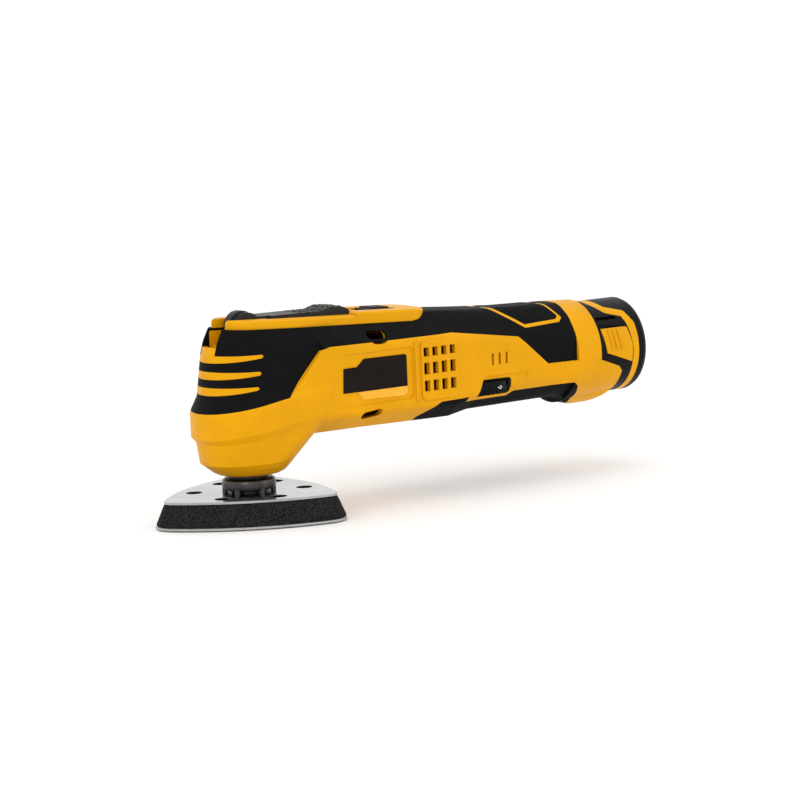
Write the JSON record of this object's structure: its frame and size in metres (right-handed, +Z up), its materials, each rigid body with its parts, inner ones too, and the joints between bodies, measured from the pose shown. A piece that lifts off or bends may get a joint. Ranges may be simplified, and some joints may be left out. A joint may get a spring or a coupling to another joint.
{
  "type": "cordless oscillating multi-tool",
  "caption": "Cordless oscillating multi-tool with a delta sanding pad, quick-release lever, slide switch, speed dial and slide-in battery.",
  "frame": {"origin": "on the spindle axis, at the sanding face under the pad", "axes": "+X towards the battery, +Z up out of the pad along the spindle, the speed dial on the -Y side"},
  "size_m": [0.2925, 0.0958, 0.1049],
  "materials": {
    "yellow_plastic": "fine moulded grain, satin",
    "black_rubber": "soft matte overmould",
    "black_plastic": "satin moulded",
    "grey_plastic": "satin moulded",
    "label_film": "smooth satin film",
    "spindle_steel": "ground and oiled",
    "polished_steel": "polished sheet",
    "screw_steel": "blackened",
    "bearing_steel": "polished",
    "cast_aluminium": "die cast",
    "motor_steel": "zinc plated",
    "sintered_magnet": "ground",
    "laminated_iron": "stacked sheet",
    "copper": "enamelled wire",
    "carbon": "pressed graphite",
    "board_green": "solder mask",
    "cell_wrap": "shrink sleeve over steel can",
    "pad_foam": "open cell foam",
    "hook_layer": "hook fabric"
  },
  "bodies": {
    "housing": {"housing_left": "yellow_plastic", "housing_right": "yellow_plastic", "overmould_left": "black_rubber", "overmould_right": "black_rubber", "top_rail": "yellow_plastic", "lever_deck": "black_plastic", "name_plate_left": "label_film", "name_plate_right": "label_film", "dial_bezel": "black_plastic", "lever_pin": "screw_steel", "switch_body": "black_plastic", "spindle_bearing_lower": "bearing_steel", "spindle_bearing_upper": "bearing_steel", "gear_case": "cast_aluminium", "motor_can": "motor_steel", "motor_front_bush": "bearing_steel", "motor_magnets": "sintered_magnet", "carbon_brushes": "carbon", "motor_end_cap": "black_plastic", "motor_rear_bush": "bearing_steel", "control_board": "board_green", "speed_potentiometer": "black_plastic", "board_components": "black_plastic", "terminal_block": "black_plastic", "terminal_blades": "copper", "housing_screws": "screw_steel"},
    "spindle": {"spindle": "spindle_steel", "tool_flange": "spindle_steel", "drive_fork": "bearing_steel", "pad_plate": "polished_steel", "pad_foam": "pad_foam", "pad_hook_face": "hook_layer", "clamp_spring": "bearing_steel"},
    "clamp": {"clamp_bolt": "screw_steel"},
    "rotor": {"motor_shaft": "bearing_steel", "armature": "laminated_iron", "armature_windings": "copper", "commutator": "copper", "cooling_fan": "black_plastic", "eccentric": "bearing_steel", "eccentric_bearing": "bearing_steel"},
    "lever": {"release_lever": "grey_plastic"},
    "switch": {"switch_slider": "grey_plastic", "switch_link": "black_plastic"},
    "dial": {"speed_dial": "black_plastic"},
    "battery": {"battery_shell": "black_plastic", "battery_band": "yellow_plastic", "battery_end_cap": "black_plastic", "battery_cells": "cell_wrap"},
    "latch_left": {"latch_button_left": "yellow_plastic"},
    "latch_right": {"latch_button_right": "yellow_plastic"}
  },
  "joints": [
    {"name": "spindle_oscillation", "type": "hinge", "parent": "housing", "child": "spindle", "pos_m": [0, 0, 0], "axis": [0, 0, 1], "range_deg": [-1.5, 1.5]},
    {"name": "lever_swing", "type": "hinge", "parent": "housing", "child": "lever", "pos_m": [0.0005, 0, 0.0964], "axis": [0, -1, 0], "range_deg": [0, 120]},
    {"name": "clamp_travel", "type": "slide", "parent": "spindle", "child": "clamp", "axis": [0, 0, -1], "range_m": [0, 0.002], "stiffness_N_per_m": 25, "springref_m": -0.009, "deforming": ["clamp_spring"]},
    {"name": "rotor_spin", "type": "hinge", "parent": "housing", "child": "rotor", "pos_m": [0.06, 0, 0.066], "axis": [1, 0, 0], "continuous": true},
    {"name": "switch_slide", "type": "slide", "parent": "housing", "child": "switch", "axis": [-1, 0, 0], "range_m": [0, 0.0055]},
    {"name": "speed_dial_turn", "type": "hinge", "parent": "housing", "child": "dial", "pos_m": [0.137, -0.0154, 0.0527], "axis": [0, 0, 1], "range_deg": [-250, 0]},
    {"name": "battery_slide", "type": "slide", "parent": "housing", "child": "battery", "axis": [1, 0, 0], "range_m": [0, 0.085]},
    {"name": "latch_left_press", "type": "slide", "parent": "battery", "child": "latch_left", "axis": [0, 1, 0], "range_m": [0, 0.0015], "stiffness_N_per_m": 1500, "springref_m": -0.0008},
    {"name": "latch_right_press", "type": "slide", "parent": "battery", "child": "latch_right", "axis": [0, -1, 0], "range_m": [0, 0.0015], "stiffness_N_per_m": 1500, "springref_m": -0.0008}
  ],
  "couplings": [
    {"joint": "clamp_travel", "follows": "lever_swing", "m_per_rad": 0.00095}
  ]
}
